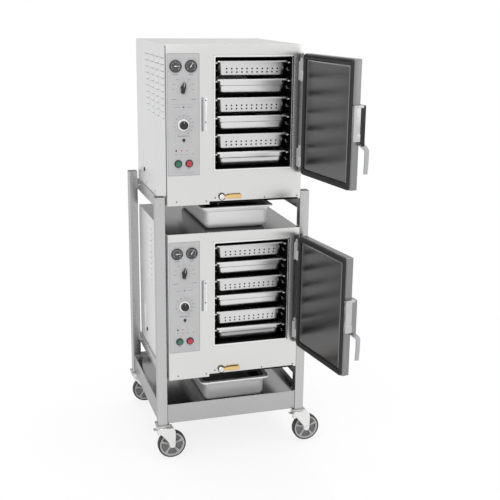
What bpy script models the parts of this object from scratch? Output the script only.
"""Two six-pan convection steamers, one above the other, on a wheeled stainless stand.

Metres, +Z up, fronts towards -Y. Each cabinet is modelled in its own frame: x = 0 in the middle,
y = 0 at the front panel, z = 0 at the cabinet's bottom. The doors stand open at rest.
"""

import math

import bmesh
import bpy
from mathutils import Matrix, Vector

# Fits and cuts
GAP = 0.0003  # between two pieces that touch
PLAY = 0.0004  # round a shaft in its hole
OVERRUN = 0.003  # how far a cutter runs past the wall it cuts
LAP = 0.001  # how far a welded piece reaches into the other
SMALL_RADIUS = 0.005
MIDDLE_RADIUS = 0.018
SMALL_SIDES = 12  # facets of a round piece below the small radius
MIDDLE_SIDES = 16
LARGE_SIDES = 20
CORNER_STEPS = 3  # facets of a pan's corner
SOFT_EDGE = 0.001  # the small bevel of plates and levers
BEVEL_ANGLE = 40.0  # degrees; edges sharper than this are bevelled
SHARP_ANGLE = 35.0  # degrees; edges sharper than this are drawn sharp
WELD = 1e-6  # vertices closer than this are one
TURN_WELD = 1e-5  # the same where a profile is turned

# Cooking pans, the size that the chamber and the cabinet follow
PAN_WIDTH = 0.325
PAN_LENGTH = 0.530
PAN_DEPTH = 0.065
PAN_COUNT = 6
PAN_PITCH = 0.0755
PAN_SHEET = 0.0010
PAN_RIM = 0.0175  # from the rim's edge to the pan's body
PAN_LIP = 0.005  # the rim's edge is turned down by this
PAN_TAPER = 0.009  # each wall leans in by this, top to bottom
PAN_RIM_RADIUS = 0.050
PAN_SETBACK = 0.015  # from the front panel to the pan's rim

# Drip pan
DRIP_DEPTH = 0.100
DRIP_TAPER = 0.014
DRIP_OFFSET = 0.026
UPPER_DRIP_SETBACK = 0.035
LOWER_DRIP_SETBACK = 0.045

# Chamber and rack
CHAMBER_SHEET = 0.0015
CHAMBER_FLANGE = 0.007
CHAMBER_SIDE_CLEARANCE = 0.004
CHAMBER_TOP_CLEARANCE = 0.0155
CHAMBER_FLOOR_CLEARANCE = 0.004
CHAMBER_BACK_CLEARANCE = 0.040
RACK_SHEET = 0.0015
RACK_LEDGE = 0.0145
RACK_BAR = 0.006
RACK_BAR_CLEARANCE = 0.014
HEATER_THICKNESS = 0.012
HEATER_MARGIN = 0.045

# Cabinet
CABINET_SHEET = 0.0015
LEFT_BAY = 0.210  # controls
RIGHT_BAY = 0.051
TOP_BAY = 0.0495
BOTTOM_BAY = 0.1435
BACK_BAY = 0.047
CASING_FLANGE = 0.010
PANEL_STEP_X = 0.186  # the panel's longer strip, from its left edge
PANEL_STRIP_DROP = 0.0045
PANEL_RAISE = 0.008
GLAND_RADIUS = 0.014
GLAND_BORE = 0.007
GLAND_LENGTH = 0.024
GLAND_INSET = 0.090

# Controls, measured from the panel's left edge and down from its top
CONTROL_INSET = 0.0755
GAUGE_RADIUS = 0.025
GAUGE_CAN_RADIUS = 0.0215
GAUGE_BEZEL = 0.006
GAUGE_CAN_LENGTH = 0.030
GAUGE_GLASS_DEPTH = 0.002  # from the bezel's front
GAUGE_SPACING = 0.064
GAUGE_DROP = 0.085
GAUGE_STRAP_WIDTH = 0.014
GAUGE_STRAP_THICKNESS = 0.003
SELECTOR_LENGTH = 0.046
SELECTOR_WIDTH = 0.016
SELECTOR_DEPTH = 0.013
SELECTOR_DROP = 0.171
SELECTOR_TIP_SHARE = 0.8  # of the bar's width, where its point starts
SELECTOR_TILT = 11.0  # degrees clockwise as the user sees it
SKIRT_THICKNESS = 0.003
SHAFT_RADIUS = 0.0035
SHAFT_LENGTH = 0.022
TIMER_RADIUS = 0.018
TIMER_SKIRT_RADIUS = 0.0245
TIMER_DEPTH = 0.016
TIMER_CHAMFER = 0.0015
TIMER_DROP = 0.322
BUTTON_RADIUS = 0.0125
BUTTON_STAND = 0.009
BUTTON_TRAVEL = 0.004
BUTTON_DROP = 0.4815
BUTTON_SPACING = 0.046
BUTTON_COLLAR = 0.003
BUTTON_STEM_LENGTH = 0.012
BUTTON_STEM_RADIUS = 0.00625
BEZEL_WALL = 0.0035
BEZEL_STAND = 0.0045

# Drain valve
DRAIN_INSET = 0.240
DRAIN_HEIGHT = 0.026
DRAIN_SETBACK = 0.060
DRAIN_BODY_RADIUS = 0.010
DRAIN_BODY_START = 0.012
DRAIN_BODY_TAIL = 0.016
DRAIN_SPOUT_RADIUS = 0.009
DRAIN_SPOUT_BORE = 0.006
DRAIN_SPOUT_DROP = 0.020
DRAIN_SPOUT_BORE_LENGTH = 0.018
DRAIN_STEM_RADIUS = 0.004
DRAIN_STEM_END = 0.028
DRAIN_PIPE_RADIUS = 0.008
DRAIN_PIPE_BORE = 0.006
DRAIN_HUB_RADIUS = 0.0125
DRAIN_HUB_START = 0.0030
DRAIN_HUB_LENGTH = 0.0085
DRAIN_LEVER_LENGTH = 0.085
DRAIN_LEVER_WIDTH = 0.018
DRAIN_LEVER_THICKNESS = 0.005

# Strike and latch
STRIKE_WIDTH = 0.025
STRIKE_HEIGHT = 0.140
STRIKE_THICKNESS = 0.004
STRIKE_LAP = 0.009  # how far the latch body reaches over it
LATCH_OVERHANG = 0.022  # past the door's free edge
LATCH_HEIGHT = 0.159
LATCH_DROP = 0.007  # the latch's middle below the opening's middle
LATCH_WIDTH = 0.050
LATCH_STAND = 0.0132
LATCH_EDGE = 0.0022
LEVER_WIDTH = 0.020
LEVER_THICKNESS = 0.007
LEVER_LENGTH = 0.122
LEVER_REACH = 0.028
LEVER_HUB_RADIUS = 0.0055
LEVER_PIN_RADIUS = 0.0025
LEVER_PIN_OVERHANG = 0.005
LEVER_SLOT_HEIGHT = 0.018
LEVER_CENTRE = 0.017  # from the latch body's free side
LEVER_STEPS = 8
LEVER_BEND_SHARE = 0.35  # of the lever's length, where it has reached out
LEVER_CURL_SHARE = 0.7  # of the lever's length, where its end starts to curl back
LEVER_DROP_POWER = 1.25

# Door and hinges
DOOR_OPEN = 98.0  # degrees at rest
DOOR_THICKNESS = 0.0337
DOOR_LEFT_LAP = 0.021
DOOR_RIGHT_INSET = 0.009
DOOR_TOP_LAP = 0.0145
DOOR_BOTTOM_LAP = 0.0315
DOOR_PLATEAU = 0.003
DOOR_EDGE_RADIUS = 0.003
GASKET_WIDTH = 0.022
GASKET_THICKNESS = 0.008
GASKET_SQUEEZE_GAP = 0.0005
GASKET_EDGE = 0.002
HINGE_PIN_RADIUS = 0.003
HINGE_KNUCKLE_RADIUS = 0.006
HINGE_LENGTH = 0.090
HINGE_INSET = 0.071  # each hinge's middle from the door's top or bottom edge
HINGE_STAND = 0.012  # the pin's axis ahead of the panel
HINGE_PIN_END = 0.005
HINGE_EDGE_GAP = 0.0005
HINGE_WEB_SHARE = 0.95  # of the knuckle's radius

# Stand
LEG = 0.042
LEG_WALL = 0.002
LEG_CAP = 0.003
LEG_CLEARANCE = 0.003  # beside the cabinet
LEG_SETBACK = 0.007
LEG_REAR_CLEARANCE = 0.008
LEG_ABOVE = 0.033  # above the upper cabinet's bottom
RAIL_SHEET = 0.003
RAIL_HEIGHT = 0.050
RAIL_LEDGE = 0.038
RAIL_INSET = 0.0005
SHELF_SHEET = 0.002
SHELF_SETBACK = 0.003  # behind the legs' faces
SHELF_SIDE_INSET = 0.006
SHELF_ABOVE_LEG = 0.006
SHELF_FLOOR_ABOVE = 0.059
SHELF_LIP = 0.030
LOWER_DRIP_CLEARANCE = 0.054
UPPER_DRIP_CLEARANCE = 0.028

# Casters
CASTER_PLATE = 0.060
CASTER_PLATE_THICKNESS = 0.004
CROWN_CLEARANCE = 0.0167  # between the tyre and the fork's crown
CASTER_TRAIL = 0.042
WHEEL_RADIUS = 0.0635
WHEEL_WIDTH = 0.032
TYRE_DEPTH = 0.009
TYRE_SHOULDER = 0.003
RIM_DEPTH = 0.0045
WHEEL_WEB_WIDTH = 0.010
WHEEL_RIM_WIDTH = 0.026
WHEEL_HUB_RADIUS = 0.015
AXLE_RADIUS = 0.006
AXLE_HEAD_RADIUS = 0.010
AXLE_HEAD = 0.004
FORK_SHEET = 0.003
FORK_SIDE_CLEARANCE = 0.003
FORK_TOP_WIDTH = 0.052
FORK_FOOT_RADIUS = 0.013
FORK_FOOT_START = 190.0  # degrees round the foot, where its arc starts
FORK_FOOT_TURN = 160.0
FORK_FOOT_STEPS = 6
RACE_RADIUS = 0.024
RACE_NECK_RADIUS = 0.019
RACE_HEIGHT = 0.014
RACE_BANDS = 3  # upper race, neck and lower race, of one height
KINGPIN_RADIUS = 0.006
KINGPIN_ABOVE_PLATE = 0.008
PEDAL_LENGTH = 0.052
PEDAL_WIDTH = 0.026
PEDAL_THICKNESS = 0.003
PEDAL_PIVOT_OFFSET = 0.012  # behind the kingpin, towards the wheel
PEDAL_PIVOT_DROP = 0.005  # below the fork's crown
PEDAL_PIN_RADIUS = 0.002
PEDAL_SHOE_REACH = 0.027
PEDAL_SHOE_LENGTH = 0.012
PEDAL_SHOE_CLEARANCE = 0.011

# Worked out from the sizes above
OPENING_WIDTH = PAN_WIDTH + 2 * CHAMBER_SIDE_CLEARANCE
PAN_STACK = (PAN_COUNT - 1) * PAN_PITCH + PAN_DEPTH
OPENING_HEIGHT = CHAMBER_TOP_CLEARANCE + PAN_STACK + CHAMBER_FLOOR_CLEARANCE
CHAMBER_LENGTH = PAN_SETBACK + PAN_LENGTH + CHAMBER_BACK_CLEARANCE
CABINET_WIDTH = LEFT_BAY + OPENING_WIDTH + RIGHT_BAY
CABINET_HEIGHT = BOTTOM_BAY + OPENING_HEIGHT + TOP_BAY
CABINET_DEPTH = CHAMBER_LENGTH + BACK_BAY
SIDE = CABINET_WIDTH / 2
OPENING_RIGHT = SIDE - RIGHT_BAY
OPENING_LEFT = OPENING_RIGHT - OPENING_WIDTH
OPENING_TOP = CABINET_HEIGHT - TOP_BAY
OPENING_MIDDLE = BOTTOM_BAY + OPENING_HEIGHT / 2
PAN_X = (OPENING_LEFT + OPENING_RIGHT) / 2
PANEL_BACK = CABINET_SHEET
CONTROL_X = CONTROL_INSET - SIDE
BUTTON_HOLE = BUTTON_RADIUS + PLAY
DRAIN_X = DRAIN_INSET - SIDE

LEG_INNER = SIDE + LEG_CLEARANCE
LEG_X = LEG_INNER + LEG / 2
LEG_FRONT_Y = LEG_SETBACK + LEG / 2
LEG_REAR_Y = CABINET_DEPTH + LEG_REAR_CLEARANCE + LEG / 2
CROWN_BOTTOM = 2 * WHEEL_RADIUS + CROWN_CLEARANCE
CROWN_TOP = CROWN_BOTTOM + FORK_SHEET
RACE_TOP = CROWN_TOP + RACE_HEIGHT
CASTER_HEIGHT = RACE_TOP + GAP + CASTER_PLATE_THICKNESS
PEDAL_PIVOT_Z = CROWN_BOTTOM - PEDAL_PIVOT_DROP
SHELF_BOTTOM = CASTER_HEIGHT + SHELF_ABOVE_LEG
SHELF_FLOOR = SHELF_BOTTOM + SHELF_FLOOR_ABOVE
SHELF_TOP = SHELF_FLOOR + SHELF_LIP
LOWER_BOTTOM = SHELF_FLOOR + DRIP_DEPTH + LOWER_DRIP_CLEARANCE
UPPER_BOTTOM = LOWER_BOTTOM + CABINET_HEIGHT + DRIP_DEPTH + UPPER_DRIP_CLEARANCE
LEG_TOP = UPPER_BOTTOM + LEG_ABOVE

DOOR_LEFT = OPENING_LEFT - DOOR_LEFT_LAP
DOOR_RIGHT = SIDE - DOOR_RIGHT_INSET
DOOR_TOP = OPENING_TOP + DOOR_TOP_LAP
DOOR_BOTTOM = BOTTOM_BAY - DOOR_BOTTOM_LAP
PIN_X = DOOR_RIGHT + HINGE_KNUCKLE_RADIUS + HINGE_EDGE_GAP
PIN_Y = -HINGE_STAND
GASKET_FACE = -GASKET_SQUEEZE_GAP
GASKET_BACK = GASKET_FACE - GASKET_THICKNESS
DOOR_INNER = GASKET_BACK - GAP
DOOR_OUTER = DOOR_INNER - DOOR_THICKNESS
STRIKE_FRONT = -GAP - STRIKE_THICKNESS
LATCH_LEFT = DOOR_LEFT - LATCH_OVERHANG
LATCH_MIDDLE = OPENING_MIDDLE - LATCH_DROP
LATCH_BOTTOM = LATCH_MIDDLE - LATCH_HEIGHT / 2
LATCH_OUTER = DOOR_OUTER - GAP - LATCH_STAND
LEVER_X = LATCH_LEFT + LEVER_CENTRE
LEVER_PIVOT_Y = LATCH_OUTER + LATCH_STAND / 2
LEVER_PIVOT_Z = LATCH_BOTTOM + LEVER_SLOT_HEIGHT / 2
DOOR_HINGES = (DOOR_BOTTOM + HINGE_INSET, DOOR_TOP - HINGE_INSET)

STEEL = ((0.62, 0.62, 0.63), 0.30, 1.0)
BRIGHT_STEEL = ((0.78, 0.78, 0.79), 0.18, 1.0)
DULL_STEEL = ((0.45, 0.45, 0.46), 0.42, 1.0)
ZINC = ((0.66, 0.67, 0.70), 0.34, 1.0)
BRASS = ((0.72, 0.55, 0.28), 0.30, 1.0)
CHROME = ((0.80, 0.80, 0.82), 0.12, 1.0)
BLACK_PLASTIC = ((0.02, 0.02, 0.02), 0.40, 0.0)
BLACK_RUBBER = ((0.03, 0.03, 0.03), 0.75, 0.0)
GREEN_PLASTIC = ((0.03, 0.30, 0.12), 0.35, 0.0)
RED_PLASTIC = ((0.60, 0.04, 0.03), 0.35, 0.0)
TYRE_GREY = ((0.10, 0.10, 0.11), 0.60, 0.0)


def clear_scene():
    for old in list(bpy.data.objects):
        bpy.data.objects.remove(old, do_unlink=True)


def new_collection(name, hidden=False):
    made = bpy.data.collections.new(name)
    made.hide_render = hidden
    bpy.context.scene.collection.children.link(made)
    return made


clear_scene()
PARTS = new_collection("convection_steamer")
HELPERS = new_collection("cutters", hidden=True)


def helper(mesh):
    """A shape to cut with, to join on, or to finish into a part."""
    made = bpy.data.objects.new("helper", mesh)
    made.display_type = "WIRE"
    made.hide_render = True
    HELPERS.objects.link(made)
    return made


def from_bmesh(bm):
    mesh = bpy.data.meshes.new("shape")
    bm.to_mesh(mesh)
    bm.free()
    return helper(mesh)


def box(x, y, z):
    """A box from its two ends along each axis."""
    bm = bmesh.new()
    bmesh.ops.create_cube(bm, size=1)
    spans = (x, y, z)
    size = Matrix.Diagonal([*(high - low for low, high in spans), 1])
    middle = Matrix.Translation([(low + high) / 2 for low, high in spans])
    bmesh.ops.transform(bm, matrix=middle @ size, verts=bm.verts)
    return from_bmesh(bm)


def facets(radius):
    if radius < SMALL_RADIUS:
        return SMALL_SIDES
    return MIDDLE_SIDES if radius < MIDDLE_RADIUS else LARGE_SIDES


def rod(start, end, radius, sides=None):
    """A cylinder between two points."""
    start, end = Vector(start), Vector(end)
    sides = sides or facets(radius)
    along = end - start
    bm = bmesh.new()
    bmesh.ops.create_cone(
        bm, cap_ends=True, segments=sides, radius1=radius, radius2=radius, depth=along.length
    )
    turn = along.to_track_quat("Z", "Y").to_matrix().to_4x4()
    bmesh.ops.transform(bm, matrix=Matrix.Translation((start + end) / 2) @ turn, verts=bm.verts)
    return from_bmesh(bm)


def evaluated_mesh(shape):
    """The shape's mesh with its modifiers applied, and its curve caps welded."""
    graph = bpy.context.evaluated_depsgraph_get()
    mesh = bpy.data.meshes.new_from_object(shape.evaluated_get(graph))
    mesh.transform(shape.matrix_world)
    bm = bmesh.new()
    bm.from_mesh(mesh)
    bmesh.ops.remove_doubles(bm, verts=bm.verts, dist=WELD)
    bm.to_mesh(mesh)
    bm.free()
    return mesh


def solid(shape):
    """Swaps a shape for a helper that holds its finished mesh."""
    bpy.context.view_layer.update()
    mesh = evaluated_mesh(shape)
    bpy.data.objects.remove(shape, do_unlink=True)
    return helper(mesh)


def turned(profile, origin, axis, closed=False):
    """A profile of (radius, distance along the axis) turned about the axis through origin."""
    sides = facets(max(radius for radius, _ in profile))
    bm = bmesh.new()
    points = [bm.verts.new((radius, 0, height)) for radius, height in profile]
    ends = points[1:] + points[:1] if closed else points[1:]
    for a, b in zip(points, ends):
        bm.edges.new((a, b))
    shape = from_bmesh(bm)
    screw = shape.modifiers.new("turn", "SCREW")
    screw.axis = "Z"
    screw.steps = screw.render_steps = sides
    screw.use_merge_vertices = True
    screw.merge_threshold = TURN_WELD
    turn = Vector(axis).to_track_quat("Z", "Y").to_matrix().to_4x4()
    shape.matrix_world = Matrix.Translation(origin) @ turn
    return solid(shape)


def plate(outline, thickness, placing):
    """A flat outline in XY with its thickness along Z, middle at zero, set in place by a matrix."""
    curve = bpy.data.curves.new("outline", "CURVE")
    curve.dimensions = "2D"
    curve.fill_mode = "BOTH"
    curve.extrude = thickness / 2
    spline = curve.splines.new("POLY")
    spline.points.add(len(outline) - 1)
    for point, (x, y) in zip(spline.points, outline):
        point.co = (x, y, 0, 1)
    spline.use_cyclic_u = True
    shape = bpy.data.objects.new("outline", curve)
    HELPERS.objects.link(shape)
    shape.matrix_world = placing
    return solid(shape)


def ribbon(path, width, thickness, edge):
    """A strip of sheet that follows a path of points, with its width along X."""
    bm = bmesh.new()
    half = Vector((width / 2, 0, 0))
    lows = [bm.verts.new(Vector(point) - half) for point in path]
    highs = [bm.verts.new(Vector(point) + half) for point in path]
    for low, high, next_low, next_high in zip(lows, highs, lows[1:], highs[1:]):
        bm.faces.new((low, high, next_high, next_low))
    shape = from_bmesh(bm)
    shell = shape.modifiers.new("sheet", "SOLIDIFY")
    shell.thickness = thickness
    shell.offset = 0
    round_edges(shape, edge)
    return solid(shape)


def round_edges(shape, radius, segments=1):
    bevel = shape.modifiers.new("edges", "BEVEL")
    bevel.width = radius
    bevel.segments = segments
    bevel.limit_method = "ANGLE"
    bevel.angle_limit = math.radians(BEVEL_ANGLE)


def combine(shape, others, operation):
    for other in others:
        step = shape.modifiers.new(operation.lower(), "BOOLEAN")
        step.operation = operation
        step.solver = "EXACT"
        step.object = other
    made = solid(shape)
    for other in others:
        bpy.data.objects.remove(other, do_unlink=True)
    return made


def join(shape, *others):
    return combine(shape, others, "UNION")


def cut(shape, *others):
    return combine(shape, others, "DIFFERENCE")


def material(name, finish):
    colour, roughness, metallic = finish
    made = bpy.data.materials.new(name)
    made.use_nodes = True
    shader = made.node_tree.nodes["Principled BSDF"]
    shader.inputs["Base Color"].default_value = (*colour, 1)
    shader.inputs["Roughness"].default_value = roughness
    shader.inputs["Metallic"].default_value = metallic
    return made


def finished(name, shape, finish, origin=(0, 0, 0)):
    """Turns a helper into the mesh of a part, with the part's own origin at zero."""
    mesh = shape.data
    bpy.data.objects.remove(shape, do_unlink=True)
    mesh.name = name
    mesh.transform(Matrix.Translation(-Vector(origin)))
    mesh.shade_smooth()
    mesh.set_sharp_from_angle(angle=math.radians(SHARP_ANGLE))
    mesh.materials.clear()
    mesh.materials.append(material(name, finish))
    return mesh


def place(name, mesh, parent, location=(0, 0, 0), rotation=(0, 0, 0)):
    made = bpy.data.objects.new(name, mesh)
    made.location = location
    made.rotation_euler = rotation
    made.parent = parent
    PARTS.objects.link(made)
    return made


def empty(name, parent=None, location=(0, 0, 0), rotation=(0, 0, 0)):
    made = bpy.data.objects.new(name, None)
    made.location = location
    made.rotation_euler = rotation
    made.parent = parent
    PARTS.objects.link(made)
    return made


def rounded_ring(half_x, half_y, radius, height):
    """Points of a rectangle with round corners."""
    points = []
    for corner, (side_x, side_y) in enumerate(((1, 1), (-1, 1), (-1, -1), (1, -1))):
        middle = Vector((side_x * (half_x - radius), side_y * (half_y - radius), height))
        for step in range(CORNER_STEPS + 1):
            angle = math.radians(90 * (corner + step / CORNER_STEPS))
            points.append(middle + radius * Vector((math.cos(angle), math.sin(angle), 0)))
    return points


def pan_mesh(name, depth, taper, finish):
    """A tub with a flat rim, its edge turned down. Zero is the middle of the rim's top."""
    half_x, half_y = PAN_WIDTH / 2, PAN_LENGTH / 2
    body_radius = PAN_RIM_RADIUS - PAN_RIM
    edge = PAN_SHEET / 2
    rings = (
        rounded_ring(half_x - edge, half_y - edge, PAN_RIM_RADIUS - edge, -PAN_LIP),
        rounded_ring(half_x - edge, half_y - edge, PAN_RIM_RADIUS - edge, -edge),
        rounded_ring(half_x - PAN_RIM, half_y - PAN_RIM, body_radius, -edge),
        rounded_ring(half_x - PAN_RIM - taper, half_y - PAN_RIM - taper, body_radius, edge - depth),
    )
    bm = bmesh.new()
    loops = [[bm.verts.new(point) for point in ring] for ring in rings]
    for outer, inner in zip(loops, loops[1:]):
        for index in range(len(outer)):
            after = (index + 1) % len(outer)
            bm.faces.new((outer[index], outer[after], inner[after], inner[index]))
    bm.faces.new(loops[-1])
    shape = from_bmesh(bm)
    shell = shape.modifiers.new("sheet", "SOLIDIFY")
    shell.thickness = PAN_SHEET
    shell.offset = 0
    shell.use_even_offset = True
    return finished(name, solid(shape), finish)


def casing_mesh():
    """Sides, top, bottom and back, with a flange round the open front and the inlet gland on the back."""
    sheet = CABINET_SHEET
    front = PANEL_BACK + GAP
    shell = box((-SIDE, SIDE), (front, CABINET_DEPTH), (0, CABINET_HEIGHT))
    gland_x, gland_z = GLAND_INSET - SIDE, GLAND_INSET
    gland_end = CABINET_DEPTH + GLAND_LENGTH
    gland = rod((gland_x, CABINET_DEPTH - LAP, gland_z), (gland_x, gland_end, gland_z), GLAND_RADIUS)
    shell = join(shell, gland)
    hollow = box(
        (sheet - SIDE, SIDE - sheet),
        (front + sheet, CABINET_DEPTH - sheet),
        (sheet, CABINET_HEIGHT - sheet),
    )
    mouth = box(
        (CASING_FLANGE - SIDE, SIDE - CASING_FLANGE),
        (front - OVERRUN, front + OVERRUN),
        (CASING_FLANGE, CABINET_HEIGHT - CASING_FLANGE),
    )
    bore = rod(
        (gland_x, CABINET_DEPTH - sheet - OVERRUN, gland_z),
        (gland_x, gland_end + OVERRUN, gland_z),
        GLAND_BORE,
    )
    spout_hole = rod(
        (DRAIN_X, DRAIN_SETBACK, -OVERRUN),
        (DRAIN_X, DRAIN_SETBACK, sheet + OVERRUN),
        DRAIN_SPOUT_RADIUS + PLAY,
    )
    return finished("casing", cut(shell, hollow, mouth, bore, spout_hole), STEEL)


def hinge_leaf(middle):
    """The fixed half of a lift-off hinge: a block on the panel, the lower knuckle and the pin."""
    bottom = middle - HINGE_LENGTH / 2
    block = box(
        (PIN_X + LAP - HINGE_KNUCKLE_RADIUS, SIDE - LAP),
        (PIN_Y, PANEL_BACK / 2),
        (bottom, middle),
    )
    knuckle = rod((PIN_X, PIN_Y, bottom + GAP), (PIN_X, PIN_Y, middle - GAP), HINGE_KNUCKLE_RADIUS)
    pin_top = middle + HINGE_LENGTH / 2 + HINGE_PIN_END
    pin = rod((PIN_X, PIN_Y, middle - LAP - GAP), (PIN_X, PIN_Y, pin_top), HINGE_PIN_RADIUS)
    return [block, knuckle, pin]


def control_holes():
    """Cutters for the gauges, knob shafts and drain stem."""
    through = (-OVERRUN, PANEL_BACK + OVERRUN)
    holes = [
        (CONTROL_X - GAUGE_SPACING / 2, GAUGE_DROP, GAUGE_CAN_RADIUS + PLAY),
        (CONTROL_X + GAUGE_SPACING / 2, GAUGE_DROP, GAUGE_CAN_RADIUS + PLAY),
        (CONTROL_X, SELECTOR_DROP, SHAFT_RADIUS + PLAY),
        (CONTROL_X, TIMER_DROP, SHAFT_RADIUS + PLAY),
        (DRAIN_X, CABINET_HEIGHT - DRAIN_HEIGHT, DRAIN_STEM_RADIUS + PLAY),
    ]
    cutters = []
    for x, drop, radius in holes:
        z = CABINET_HEIGHT - drop
        cutters.append(rod((x, through[0], z), (x, through[1], z), radius))
    return cutters


def front_panel_mesh():
    """One plate with a stepped bottom edge, button bezels and the fixed hinge halves."""
    panel = box((-SIDE, SIDE), (0, PANEL_BACK), (-PANEL_STRIP_DROP, CABINET_HEIGHT))
    step = box(
        (PANEL_STEP_X - SIDE, SIDE + OVERRUN),
        (-OVERRUN, PANEL_BACK + OVERRUN),
        (-PANEL_STRIP_DROP - OVERRUN, PANEL_RAISE),
    )
    margin = CHAMBER_FLANGE + GAP
    opening = box(
        (OPENING_LEFT - margin, OPENING_RIGHT + margin),
        (-OVERRUN, PANEL_BACK + OVERRUN),
        (BOTTOM_BAY - margin, OPENING_TOP + margin),
    )
    panel = cut(panel, step, opening, *control_holes())
    added = []
    for middle in DOOR_HINGES:
        added += hinge_leaf(middle)
    bores = []
    z = CABINET_HEIGHT - BUTTON_DROP
    for side in (-1, 1):
        x = CONTROL_X + side * BUTTON_SPACING / 2
        added.append(rod((x, -BEZEL_STAND, z), (x, PANEL_BACK / 2, z), BUTTON_HOLE + BEZEL_WALL))
        bores.append(rod((x, -BEZEL_STAND - OVERRUN, z), (x, PANEL_BACK + OVERRUN, z), BUTTON_HOLE))
    return finished("front_panel", cut(join(panel, *added), *bores), STEEL)


def chamber_mesh():
    """The welded liner with its front flange, the heater pad under the floor and the drain pipe."""
    sheet = CHAMBER_SHEET
    pipe_bottom = DRAIN_HEIGHT + DRAIN_BODY_RADIUS + GAP
    liner = box(
        (OPENING_LEFT - sheet, OPENING_RIGHT + sheet),
        (sheet / 2, CHAMBER_LENGTH + sheet),
        (BOTTOM_BAY - sheet, OPENING_TOP + sheet),
    )
    flange = box(
        (OPENING_LEFT - CHAMBER_FLANGE, OPENING_RIGHT + CHAMBER_FLANGE),
        (0, sheet),
        (BOTTOM_BAY - CHAMBER_FLANGE, OPENING_TOP + CHAMBER_FLANGE),
    )
    heater = box(
        (OPENING_LEFT + HEATER_MARGIN, OPENING_RIGHT - HEATER_MARGIN),
        (DRAIN_SETBACK + HEATER_MARGIN, CHAMBER_LENGTH - HEATER_MARGIN),
        (BOTTOM_BAY - sheet - HEATER_THICKNESS, BOTTOM_BAY - sheet / 2),
    )
    pipe = rod(
        (DRAIN_X, DRAIN_SETBACK, pipe_bottom),
        (DRAIN_X, DRAIN_SETBACK, BOTTOM_BAY - sheet / 2),
        DRAIN_PIPE_RADIUS,
    )
    inside = box(
        (OPENING_LEFT, OPENING_RIGHT), (-OVERRUN, CHAMBER_LENGTH), (BOTTOM_BAY, OPENING_TOP)
    )
    bore = rod(
        (DRAIN_X, DRAIN_SETBACK, pipe_bottom - OVERRUN),
        (DRAIN_X, DRAIN_SETBACK, BOTTOM_BAY + OVERRUN),
        DRAIN_PIPE_BORE,
    )
    return finished("cooking_chamber", cut(join(liner, flange, heater, pipe), inside, bore), BRIGHT_STEEL)


def rim_height(index):
    """Top of a pan's rim, counted from the top pan."""
    return OPENING_TOP - CHAMBER_TOP_CLEARANCE - index * PAN_PITCH


def rack_mesh():
    """Two side sheets with a ledge under each pan's rim, joined by bars behind the pans."""
    outer = OPENING_WIDTH / 2 - GAP
    inner = outer - RACK_SHEET
    ledge_end = inner + LAP / 2
    bottom = BOTTOM_BAY + GAP
    top = OPENING_TOP - RACK_BAR
    back = PAN_SETBACK + PAN_LENGTH + RACK_BAR_CLEARANCE + RACK_BAR + LAP
    pieces = []
    for side in (-1, 1):
        sheet_x = sorted((PAN_X + side * inner, PAN_X + side * outer))
        pieces.append(box(sheet_x, (PAN_SETBACK, back), (bottom, top)))
        for index in range(PAN_COUNT):
            ledge_top = rim_height(index) - PAN_LIP - PAN_SHEET / 2 - GAP
            pieces.append(
                box(
                    sorted((PAN_X + side * (ledge_end - RACK_LEDGE), PAN_X + side * ledge_end)),
                    (PAN_SETBACK + LAP, PAN_SETBACK + PAN_LENGTH),
                    (ledge_top - RACK_SHEET, ledge_top),
                )
            )
    for z in (bottom + RACK_BAR, OPENING_MIDDLE, top - 2 * RACK_BAR):
        pieces.append(
            box(
                (PAN_X - ledge_end, PAN_X + ledge_end),
                (back - LAP - RACK_BAR, back - LAP),
                (z, z + RACK_BAR),
            )
        )
    return finished("pan_rack", join(pieces[0], *pieces[1:]), BRIGHT_STEEL)


def strike_mesh():
    """The plate on the panel that the latch closes on. Zero is its middle, on the panel."""
    shape = box(
        (-STRIKE_WIDTH / 2, STRIKE_WIDTH / 2),
        (-GAP - STRIKE_THICKNESS, -GAP),
        (-STRIKE_HEIGHT / 2, STRIKE_HEIGHT / 2),
    )
    round_edges(shape, SOFT_EDGE)
    return finished("strike", solid(shape), BRIGHT_STEEL)


def gauges_mesh():
    """Two round gauges through the panel, held by one strap behind it. Zero is between their centres."""
    strap_end = GAUGE_CAN_LENGTH + GAUGE_STRAP_THICKNESS - LAP
    strap = box(
        (-GAUGE_SPACING / 2, GAUGE_SPACING / 2),
        (GAUGE_CAN_LENGTH - LAP, strap_end),
        (-GAUGE_STRAP_WIDTH / 2, GAUGE_STRAP_WIDTH / 2),
    )
    pieces = []
    glass = GAUGE_GLASS_DEPTH
    profile = (
        (0, GAUGE_CAN_LENGTH),
        (GAUGE_CAN_RADIUS, GAUGE_CAN_LENGTH),
        (GAUGE_CAN_RADIUS, -GAP),
        (GAUGE_RADIUS, -GAP),
        (GAUGE_RADIUS, -GAUGE_BEZEL),
        (GAUGE_CAN_RADIUS, -GAUGE_BEZEL),
        (GAUGE_CAN_RADIUS, glass - GAUGE_BEZEL),
        (0, glass - GAUGE_BEZEL),
    )
    for side in (-1, 1):
        pieces.append(turned(profile, (side * GAUGE_SPACING / 2, 0, 0), (0, 1, 0)))
    return finished("gauge_pair", join(strap, *pieces), CHROME)


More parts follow.
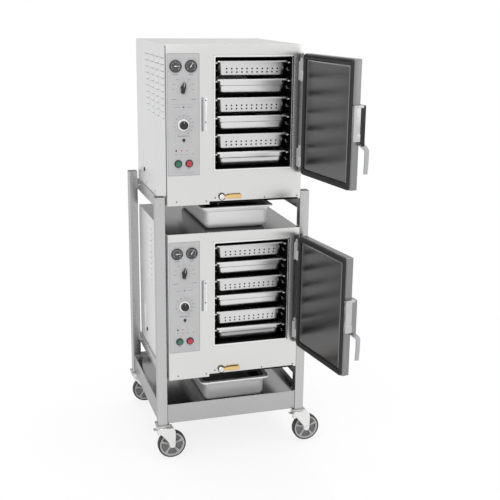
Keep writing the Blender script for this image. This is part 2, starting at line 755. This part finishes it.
def selector_mesh():
    """A pointer bar on a round skirt, with its shaft. Zero is where its axis meets the panel."""
    skirt = SELECTOR_WIDTH / 2 + SKIRT_THICKNESS
    profile = (
        (0, SHAFT_LENGTH),
        (SHAFT_RADIUS, SHAFT_LENGTH),
        (SHAFT_RADIUS, -GAP),
        (skirt, -GAP),
        (skirt, -GAP - SKIRT_THICKNESS),
        (0, -GAP - SKIRT_THICKNESS),
    )
    base = turned(profile, (0, 0, 0), (0, 1, 0))
    half_length = SELECTOR_LENGTH / 2
    half_width = SELECTOR_WIDTH / 2
    outline = [
        (-half_width, -half_length + half_width / 2),
        (-half_width / 2, -half_length),
        (half_width / 2, -half_length),
        (half_width, -half_length + half_width / 2),
        (half_width * SELECTOR_TIP_SHARE, half_length - half_width),
        (0, half_length),
        (-half_width * SELECTOR_TIP_SHARE, half_length - half_width),
    ]
    depth = SELECTOR_DEPTH - SKIRT_THICKNESS + LAP
    middle = -GAP - SKIRT_THICKNESS + LAP - depth / 2
    upright = Matrix.Translation((0, middle, 0)) @ Matrix.Rotation(math.radians(90), 4, "X")
    bar = plate(outline, depth, upright)
    round_edges(bar, SOFT_EDGE)
    return finished("selector_knob", join(base, solid(bar)), BLACK_PLASTIC)


def timer_mesh():
    """A tall round knob on a wide skirt, with its shaft. Zero is where its axis meets the panel."""
    face = -GAP - TIMER_DEPTH
    chamfer = TIMER_CHAMFER
    profile = (
        (0, SHAFT_LENGTH),
        (SHAFT_RADIUS, SHAFT_LENGTH),
        (SHAFT_RADIUS, -GAP),
        (TIMER_SKIRT_RADIUS, -GAP),
        (TIMER_SKIRT_RADIUS, chamfer - GAP - SKIRT_THICKNESS),
        (TIMER_RADIUS, -GAP - SKIRT_THICKNESS),
        (TIMER_RADIUS - chamfer, face + chamfer),
        (TIMER_RADIUS - 2 * chamfer, face),
        (0, face),
    )
    return finished("timer_knob", turned(profile, (0, 0, 0), (0, 1, 0)), BLACK_PLASTIC)


def button_mesh(name, finish):
    """A cap in its bezel with a collar behind the panel. Zero is where its axis meets the panel."""
    collar = BUTTON_RADIUS + BEZEL_WALL / 2
    collar_start = PANEL_BACK + GAP
    profile = (
        (0, collar_start + BUTTON_STEM_LENGTH),
        (BUTTON_STEM_RADIUS, collar_start + BUTTON_STEM_LENGTH),
        (BUTTON_STEM_RADIUS, collar_start + BUTTON_COLLAR),
        (collar, collar_start + BUTTON_COLLAR),
        (collar, collar_start),
        (BUTTON_RADIUS - GAP, collar_start),
        (BUTTON_RADIUS - GAP, SOFT_EDGE - BUTTON_STAND),
        (BUTTON_RADIUS - SOFT_EDGE, -BUTTON_STAND),
        (0, -BUTTON_STAND),
    )
    return finished(name, turned(profile, (0, 0, 0), (0, 1, 0)), finish)


def valve_mesh():
    """The valve body behind the panel with its outlet spout. Zero is where its stem meets the panel."""
    stem_hole = DRAIN_STEM_RADIUS + PLAY
    end = DRAIN_SETBACK + DRAIN_BODY_TAIL
    spout_end = -DRAIN_HEIGHT - DRAIN_SPOUT_DROP
    body = rod((0, DRAIN_BODY_START, 0), (0, end, 0), DRAIN_BODY_RADIUS)
    spout = rod((0, DRAIN_SETBACK, spout_end), (0, DRAIN_SETBACK, 0), DRAIN_SPOUT_RADIUS)
    stem_bore = rod((0, DRAIN_BODY_START - OVERRUN, 0), (0, DRAIN_STEM_END + OVERRUN, 0), stem_hole)
    spout_bore = rod(
        (0, DRAIN_SETBACK, spout_end - OVERRUN),
        (0, DRAIN_SETBACK, spout_end + DRAIN_SPOUT_BORE_LENGTH),
        DRAIN_SPOUT_BORE,
    )
    return finished("drain_valve", cut(join(body, spout), stem_bore, spout_bore), BRASS)


def drain_lever_mesh():
    """A round hub with a flat lever to the right, and the stem behind. Zero is on its axis, at the panel."""
    back = -DRAIN_HUB_START
    front = back - DRAIN_HUB_LENGTH
    hub = rod((0, back, 0), (0, front, 0), DRAIN_HUB_RADIUS)
    stem = rod((0, back - LAP, 0), (0, DRAIN_STEM_END, 0), DRAIN_STEM_RADIUS)
    lever_back = (back + front + DRAIN_LEVER_THICKNESS) / 2
    lever = box(
        (DRAIN_HUB_RADIUS / 2, DRAIN_LEVER_LENGTH),
        (lever_back - DRAIN_LEVER_THICKNESS, lever_back),
        (-DRAIN_LEVER_WIDTH / 2, DRAIN_LEVER_WIDTH / 2),
    )
    round_edges(lever, SOFT_EDGE)
    return finished("drain_lever", join(hub, solid(lever), stem), BRASS)


def door_shell_mesh():
    """Outer pan and inner liner of the door with the moving hinge knuckles, shut. Zero is on the pin."""
    shell = box((DOOR_LEFT, DOOR_RIGHT), (DOOR_OUTER, DOOR_INNER), (DOOR_BOTTOM, DOOR_TOP))
    round_edges(shell, DOOR_EDGE_RADIUS)
    inset = GASKET_WIDTH + LAP
    plateau = box(
        (DOOR_LEFT + inset, DOOR_RIGHT - inset),
        (DOOR_INNER - LAP, DOOR_INNER + DOOR_PLATEAU),
        (DOOR_BOTTOM + inset, DOOR_TOP - inset),
    )
    added = [plateau]
    bores = []
    for middle in DOOR_HINGES:
        bottom, top = middle + GAP, middle + HINGE_LENGTH / 2
        added.append(rod((PIN_X, PIN_Y, bottom), (PIN_X, PIN_Y, top), HINGE_KNUCKLE_RADIUS))
        added.append(
            box(
                (DOOR_RIGHT - DOOR_EDGE_RADIUS, PIN_X),
                (PIN_Y - HINGE_KNUCKLE_RADIUS * HINGE_WEB_SHARE, PIN_Y),
                (bottom + GAP, top - GAP),
            )
        )
        bores.append(
            rod((PIN_X, PIN_Y, bottom - OVERRUN), (PIN_X, PIN_Y, top + OVERRUN), HINGE_PIN_RADIUS + PLAY)
        )
    shell = cut(join(solid(shell), *added), *bores)
    return finished("door_shell", shell, STEEL, (PIN_X, PIN_Y, 0))


def gasket_mesh():
    ring = box((DOOR_LEFT, DOOR_RIGHT), (GASKET_BACK, GASKET_FACE), (DOOR_BOTTOM, DOOR_TOP))
    hole = box(
        (DOOR_LEFT + GASKET_WIDTH, DOOR_RIGHT - GASKET_WIDTH),
        (GASKET_BACK - OVERRUN, GASKET_FACE + OVERRUN),
        (DOOR_BOTTOM + GASKET_WIDTH, DOOR_TOP - GASKET_WIDTH),
    )
    ring = cut(ring, hole)
    round_edges(ring, GASKET_EDGE)
    return finished("door_gasket", solid(ring), BLACK_RUBBER, (PIN_X, PIN_Y, 0))


def latch_body_mesh():
    """A housing on the door's face that laps over the free edge, slotted at its foot for the lever."""
    top = LATCH_BOTTOM + LATCH_HEIGHT
    face_block = box(
        (LATCH_LEFT, LATCH_LEFT + LATCH_WIDTH), (LATCH_OUTER, DOOR_OUTER - GAP), (LATCH_BOTTOM, top)
    )
    round_edges(face_block, LATCH_EDGE)
    edge_block = box(
        (LATCH_LEFT + LAP / 2, DOOR_LEFT - GAP),
        (DOOR_OUTER - LATCH_STAND / 2, STRIKE_FRONT - GAP),
        (LATCH_BOTTOM + LEVER_SLOT_HEIGHT + LATCH_EDGE, top - LATCH_EDGE),
    )
    slot_half = LEVER_WIDTH / 2 + GAP
    slot = box(
        (LEVER_X - slot_half, LEVER_X + slot_half),
        (LATCH_OUTER - OVERRUN, DOOR_OUTER + OVERRUN),
        (LATCH_BOTTOM - OVERRUN, LATCH_BOTTOM + LEVER_SLOT_HEIGHT),
    )
    pin_half = LEVER_WIDTH / 2 + LEVER_PIN_OVERHANG + GAP
    pin_hole = rod(
        (LEVER_X - pin_half, LEVER_PIVOT_Y, LEVER_PIVOT_Z),
        (LEVER_X + pin_half, LEVER_PIVOT_Y, LEVER_PIVOT_Z),
        LEVER_PIN_RADIUS + PLAY,
    )
    body = cut(join(solid(face_block), edge_block), slot, pin_hole)
    return finished("latch_body", body, DULL_STEEL, (PIN_X, PIN_Y, 0))


def lever_path():
    """The lever's middle line: straight out of the hub, bending down, with a slight curl at its end."""
    points = []
    for step in range(LEVER_STEPS + 1):
        share = step / LEVER_STEPS
        bend = min(share / LEVER_BEND_SHARE, 1)
        reach = LEVER_REACH * bend * bend * (3 - 2 * bend)
        curl = LEVER_THICKNESS * max(share - LEVER_CURL_SHARE, 0)
        drop = LEVER_LENGTH * share ** LEVER_DROP_POWER
        points.append((LEVER_X, LEVER_PIVOT_Y - reach + curl, LEVER_PIVOT_Z - drop))
    return points


def latch_handle_mesh():
    """The pull lever with its hub and pin. Closed door, zero on the lever's own pin."""
    pivot = Vector((LEVER_X, LEVER_PIVOT_Y, LEVER_PIVOT_Z))
    half = Vector((LEVER_WIDTH / 2, 0, 0))
    overhang = Vector((LEVER_PIN_OVERHANG, 0, 0))
    blade = ribbon(lever_path(), LEVER_WIDTH - 2 * GAP, LEVER_THICKNESS, SOFT_EDGE)
    hub = rod(pivot - half, pivot + half, LEVER_HUB_RADIUS)
    pin = rod(pivot - half - overhang, pivot + half + overhang, LEVER_PIN_RADIUS)
    return finished("latch_handle", join(hub, blade, pin), BRIGHT_STEEL, pivot)


def side_frame_mesh(side):
    """Two square legs with caster plates, joined by the rails that carry the cabinets."""
    pieces = []
    hollows = []
    inner = LEG / 2 - LEG_WALL
    for y in (LEG_FRONT_Y, LEG_REAR_Y):
        x = side * LEG_X
        plate_half = CASTER_PLATE / 2
        leg_x, leg_y = (x - LEG / 2, x + LEG / 2), (y - LEG / 2, y + LEG / 2)
        pieces.append(box(leg_x, leg_y, (CASTER_HEIGHT, LEG_TOP)))
        pieces.append(
            box(
                (x - plate_half, x + plate_half),
                (y - plate_half, y + plate_half),
                (CASTER_HEIGHT - CASTER_PLATE_THICKNESS, CASTER_HEIGHT + LAP),
            )
        )
        hollows.append(
            box((x - inner, x + inner), (y - inner, y + inner), (CASTER_HEIGHT + LAP, LEG_TOP - LEG_CAP))
        )
        hollows.append(
            rod(
                (x, y, CASTER_HEIGHT - CASTER_PLATE_THICKNESS - OVERRUN),
                (x, y, CASTER_HEIGHT + OVERRUN),
                KINGPIN_RADIUS + PLAY,
            )
        )
    web = LEG_INNER + RAIL_INSET
    rail_y = (LEG_FRONT_Y + LEG / 2 - LAP, LEG_REAR_Y - LEG / 2 + LAP)
    ledge_y = (LEG_FRONT_Y + LEG / 2 + GAP, LEG_REAR_Y - LEG / 2 - GAP)
    for bottom in (LOWER_BOTTOM, UPPER_BOTTOM):
        top = bottom - GAP
        web_x = sorted((side * web, side * (web + RAIL_SHEET)))
        ledge_x = sorted((side * (web - RAIL_LEDGE), side * (web + LAP)))
        pieces.append(box(web_x, rail_y, (top - RAIL_HEIGHT, top)))
        pieces.append(box(ledge_x, ledge_y, (top - RAIL_SHEET, top - GAP)))
    frame = cut(join(pieces[0], *pieces[1:]), *hollows)
    return finished("side_frame", frame, DULL_STEEL)


def shelf_mesh():
    """A folded tray with a lip above its floor and a skirt below, notched round the legs."""
    side = LEG_X + LEG / 2 - SHELF_SIDE_INSET
    front = LEG_FRONT_Y - LEG / 2 + SHELF_SETBACK
    back = LEG_REAR_Y + LEG / 2 - SHELF_SETBACK
    tray = box((-side, side), (front, back), (SHELF_BOTTOM, SHELF_TOP))
    sheet = SHELF_SHEET
    inside_x = (sheet - side, side - sheet)
    inside_y = (front + sheet, back - sheet)
    upper = box(inside_x, inside_y, (SHELF_FLOOR, SHELF_TOP + OVERRUN))
    under = box(inside_x, inside_y, (SHELF_BOTTOM - OVERRUN, SHELF_FLOOR - sheet))
    notches = []
    for across in (-1, 1):
        x = sorted((across * (LEG_INNER - GAP), across * (side + OVERRUN)))
        z = (SHELF_BOTTOM - OVERRUN, SHELF_TOP + OVERRUN)
        notches.append(box(x, (front - OVERRUN, LEG_FRONT_Y + LEG / 2 + GAP), z))
        notches.append(box(x, (LEG_REAR_Y - LEG / 2 - GAP, back + OVERRUN), z))
    return finished("bottom_shelf", cut(tray, upper, under, *notches), STEEL)


def fork_outline(crown):
    """One fork arm seen from the side: wide under the crown, round at the axle."""
    half_top = FORK_TOP_WIDTH / 2
    points = [(half_top, crown), (-half_top, crown)]
    for step in range(FORK_FOOT_STEPS + 1):
        angle = math.radians(FORK_FOOT_START + FORK_FOOT_TURN * step / FORK_FOOT_STEPS)
        points.append(
            (
                CASTER_TRAIL + FORK_FOOT_RADIUS * math.cos(angle),
                WHEEL_RADIUS + FORK_FOOT_RADIUS * math.sin(angle),
            )
        )
    return points


def fork_mesh(braked):
    """Crown, arms, axle, swivel race and kingpin. Zero is on the swivel axis, on the floor."""
    arm = WHEEL_WIDTH / 2 + FORK_SIDE_CLEARANCE + FORK_SHEET / 2
    pieces = [
        box(
            (-FORK_TOP_WIDTH / 2, FORK_TOP_WIDTH / 2),
            (-arm - FORK_SHEET / 2, arm + FORK_SHEET / 2),
            (CROWN_BOTTOM, CROWN_TOP),
        )
    ]
    standing = Matrix.Rotation(math.radians(90), 4, "X")
    for side in (-1, 1):
        placing = Matrix.Translation((0, side * arm, 0)) @ standing
        pieces.append(plate(fork_outline(CROWN_BOTTOM + LAP), FORK_SHEET - GAP, placing))
        head = side * (arm + FORK_SHEET / 2)
        pieces.append(
            rod(
                (CASTER_TRAIL, head - side * LAP, WHEEL_RADIUS),
                (CASTER_TRAIL, head + side * AXLE_HEAD, WHEEL_RADIUS),
                AXLE_HEAD_RADIUS,
                sides=6,
            )
        )
    pieces.append(rod((CASTER_TRAIL, -arm, WHEEL_RADIUS), (CASTER_TRAIL, arm, WHEEL_RADIUS), AXLE_RADIUS))
    band = RACE_HEIGHT / RACE_BANDS
    pin_top = CASTER_HEIGHT + KINGPIN_ABOVE_PLATE
    race = (
        (0, pin_top),
        (KINGPIN_RADIUS, pin_top),
        (KINGPIN_RADIUS, RACE_TOP),
        (RACE_RADIUS, RACE_TOP),
        (RACE_RADIUS, RACE_TOP - band),
        (RACE_NECK_RADIUS, RACE_TOP - band),
        (RACE_NECK_RADIUS, CROWN_TOP + band),
        (RACE_RADIUS, CROWN_TOP + band),
        (RACE_RADIUS, CROWN_TOP - LAP),
        (0, CROWN_TOP - LAP),
    )
    pieces.append(turned(race, (0, 0, 0), (0, 0, 1)))
    fork = join(pieces[0], *pieces[1:])
    if braked:
        start = (PEDAL_PIVOT_OFFSET, -arm - OVERRUN, PEDAL_PIVOT_Z)
        end = (PEDAL_PIVOT_OFFSET, arm + OVERRUN, PEDAL_PIVOT_Z)
        fork = cut(fork, rod(start, end, PEDAL_PIN_RADIUS + PLAY))
    return finished("caster_fork", fork, ZINC)


def wheel_mesh():
    """Tyre, rim, web and hub in one turned piece, with a flat facet down. Zero is on the axle."""
    to_corner = 1 / math.cos(math.pi / LARGE_SIDES)
    tyre = WHEEL_RADIUS * to_corner
    rim = (WHEEL_RADIUS - TYRE_DEPTH) * to_corner
    half = WHEEL_WIDTH / 2
    half_rim = WHEEL_RIM_WIDTH / 2
    half_web = WHEEL_WEB_WIDTH / 2
    bore = AXLE_RADIUS + PLAY
    outer_half = [
        (tyre, half - TYRE_SHOULDER),
        (tyre - TYRE_SHOULDER, half),
        (rim, half_rim),
        (rim - RIM_DEPTH, half_web),
        (WHEEL_HUB_RADIUS, half_web),
        (WHEEL_HUB_RADIUS, half),
        (bore, half),
    ]
    profile = outer_half + [(radius, -height) for radius, height in reversed(outer_half)]
    wheel = turned(profile[::-1], (0, 0, 0), (0, 1, 0), closed=True)
    mesh = wheel.data
    mesh.transform(Matrix.Rotation(math.pi / LARGE_SIDES, 4, "Y"))
    return finished("caster_wheel", wheel, TYRE_GREY)


def pedal_mesh():
    """The brake pedal: a bar with its pin and a shoe over the tread. Zero is on the pin."""
    arm = WHEEL_WIDTH / 2 + FORK_SIDE_CLEARANCE + FORK_SHEET
    half = PEDAL_WIDTH / 2
    thickness = (-PEDAL_THICKNESS / 2, PEDAL_THICKNESS / 2)
    bar = box((-PEDAL_LENGTH, PEDAL_PIN_RADIUS), (-half, half), thickness)
    round_edges(bar, SOFT_EDGE)
    pin = rod((0, -arm, 0), (0, arm, 0), PEDAL_PIN_RADIUS)
    reach = PEDAL_SHOE_REACH - PEDAL_SHOE_LENGTH / 2 - PEDAL_PIVOT_OFFSET + CASTER_TRAIL
    tread = WHEEL_RADIUS + math.sqrt(max(WHEEL_RADIUS ** 2 - reach ** 2, 0)) - PEDAL_PIVOT_Z
    shoe = box(
        (-PEDAL_SHOE_REACH - PEDAL_SHOE_LENGTH / 2, -PEDAL_SHOE_REACH + PEDAL_SHOE_LENGTH / 2),
        (-half + LAP, half - LAP),
        (tread + PEDAL_SHOE_CLEARANCE, LAP / 2 - PEDAL_THICKNESS / 2),
    )
    return finished("brake_pedal", join(solid(bar), pin, shoe), ZINC)


def add_stand(root):
    left, right = side_frame_mesh(-1), side_frame_mesh(1)
    place("side_frame_left", left, root)
    place("side_frame_right", right, root)
    place("bottom_shelf", shelf_mesh(), root)
    plain_fork, braked_fork = fork_mesh(False), fork_mesh(True)
    wheel, pedal = wheel_mesh(), pedal_mesh()
    for across, side in ((-1, "left"), (1, "right")):
        for y, end in ((LEG_FRONT_Y, "front"), (LEG_REAR_Y, "rear")):
            where = f"{end}_{side}"
            swivel = empty(f"swivel_{where}", root, (across * LEG_X, y, 0))
            place(f"caster_fork_{where}", braked_fork if end == "front" else plain_fork, swivel)
            place(f"caster_wheel_{where}", wheel, swivel, (CASTER_TRAIL, 0, WHEEL_RADIUS))
            if end == "front":
                place(f"brake_pedal_{where}", pedal, swivel, (PEDAL_PIVOT_OFFSET, 0, PEDAL_PIVOT_Z))


def steamer_meshes():
    return {
        "casing": casing_mesh(),
        "front_panel": front_panel_mesh(),
        "cooking_chamber": chamber_mesh(),
        "pan_rack": rack_mesh(),
        "strike": strike_mesh(),
        "gauge_pair": gauges_mesh(),
        "selector_knob": selector_mesh(),
        "timer_knob": timer_mesh(),
        "start_button": button_mesh("start_button", GREEN_PLASTIC),
        "stop_button": button_mesh("stop_button", RED_PLASTIC),
        "drain_valve": valve_mesh(),
        "drain_lever": drain_lever_mesh(),
        "door_shell": door_shell_mesh(),
        "door_gasket": gasket_mesh(),
        "latch_body": latch_body_mesh(),
        "latch_handle": latch_handle_mesh(),
        "pan": pan_mesh("cooking_pan", PAN_DEPTH, PAN_TAPER, BRIGHT_STEEL),
        "drip_pan": pan_mesh("drip_pan", DRIP_DEPTH, DRIP_TAPER, BRIGHT_STEEL),
    }


def add_steamer(root, level, bottom, meshes, drip_setback, drip_rim):
    """Places one steamer's pieces. level is the word that its nodes' names start with."""
    cabinet = empty(f"{level}_cabinet", root, (0, 0, bottom))

    def add(name, x=0, y=0, z=0, tilt=0, parent=cabinet):
        place(f"{level}_{name}", meshes[name], parent, (x, y, z), (0, tilt, 0))

    for name in ("casing", "front_panel", "cooking_chamber", "pan_rack"):
        add(name)
    add("strike", LATCH_LEFT + STRIKE_LAP - STRIKE_WIDTH / 2, 0, OPENING_MIDDLE)
    add("gauge_pair", CONTROL_X, 0, CABINET_HEIGHT - GAUGE_DROP)
    add("selector_knob", CONTROL_X, 0, CABINET_HEIGHT - SELECTOR_DROP, math.radians(SELECTOR_TILT))
    add("timer_knob", CONTROL_X, 0, CABINET_HEIGHT - TIMER_DROP)
    add("start_button", CONTROL_X - BUTTON_SPACING / 2, 0, CABINET_HEIGHT - BUTTON_DROP)
    add("stop_button", CONTROL_X + BUTTON_SPACING / 2, 0, CABINET_HEIGHT - BUTTON_DROP)
    add("drain_valve", DRAIN_X, 0, DRAIN_HEIGHT)
    add("drain_lever", DRAIN_X, 0, DRAIN_HEIGHT)
    door = empty(f"{level}_door", cabinet, (PIN_X, PIN_Y, 0), (0, 0, math.radians(DOOR_OPEN)))
    for name in ("door_shell", "door_gasket", "latch_body"):
        add(name, parent=door)
    add("latch_handle", LEVER_X - PIN_X, LEVER_PIVOT_Y - PIN_Y, LEVER_PIVOT_Z, parent=door)
    pan_y = PAN_SETBACK + PAN_LENGTH / 2
    for index in range(PAN_COUNT):
        place(f"{level}_pan_{index + 1}", meshes["pan"], cabinet, (PAN_X, pan_y, rim_height(index)))
    drip_y = drip_setback + PAN_LENGTH / 2
    place(f"{level}_drip_pan", meshes["drip_pan"], root, (DRIP_OFFSET, drip_y, drip_rim))


def bounds():
    bpy.context.view_layer.update()
    corners = [
        part.matrix_world @ vertex.co
        for part in PARTS.objects
        if part.type == "MESH"
        for vertex in part.data.vertices
    ]
    low = Vector([min(corner[axis] for corner in corners) for axis in range(3)])
    high = Vector([max(corner[axis] for corner in corners) for axis in range(3)])
    return low, high


def main():
    root = empty("steamer_stack")
    add_stand(root)
    meshes = steamer_meshes()
    lower_rim = SHELF_FLOOR + GAP + DRIP_DEPTH
    upper_rim = LOWER_BOTTOM + CABINET_HEIGHT + GAP + DRIP_DEPTH
    add_steamer(root, "lower", LOWER_BOTTOM, meshes, LOWER_DRIP_SETBACK, lower_rim)
    add_steamer(root, "upper", UPPER_BOTTOM, meshes, UPPER_DRIP_SETBACK, upper_rim)
    low, high = bounds()
    middle = (low + high) / 2
    root.location = (-middle.x, -middle.y, -low.z)
    print("bounds", tuple(round(value, 4) for value in high - low))


main()
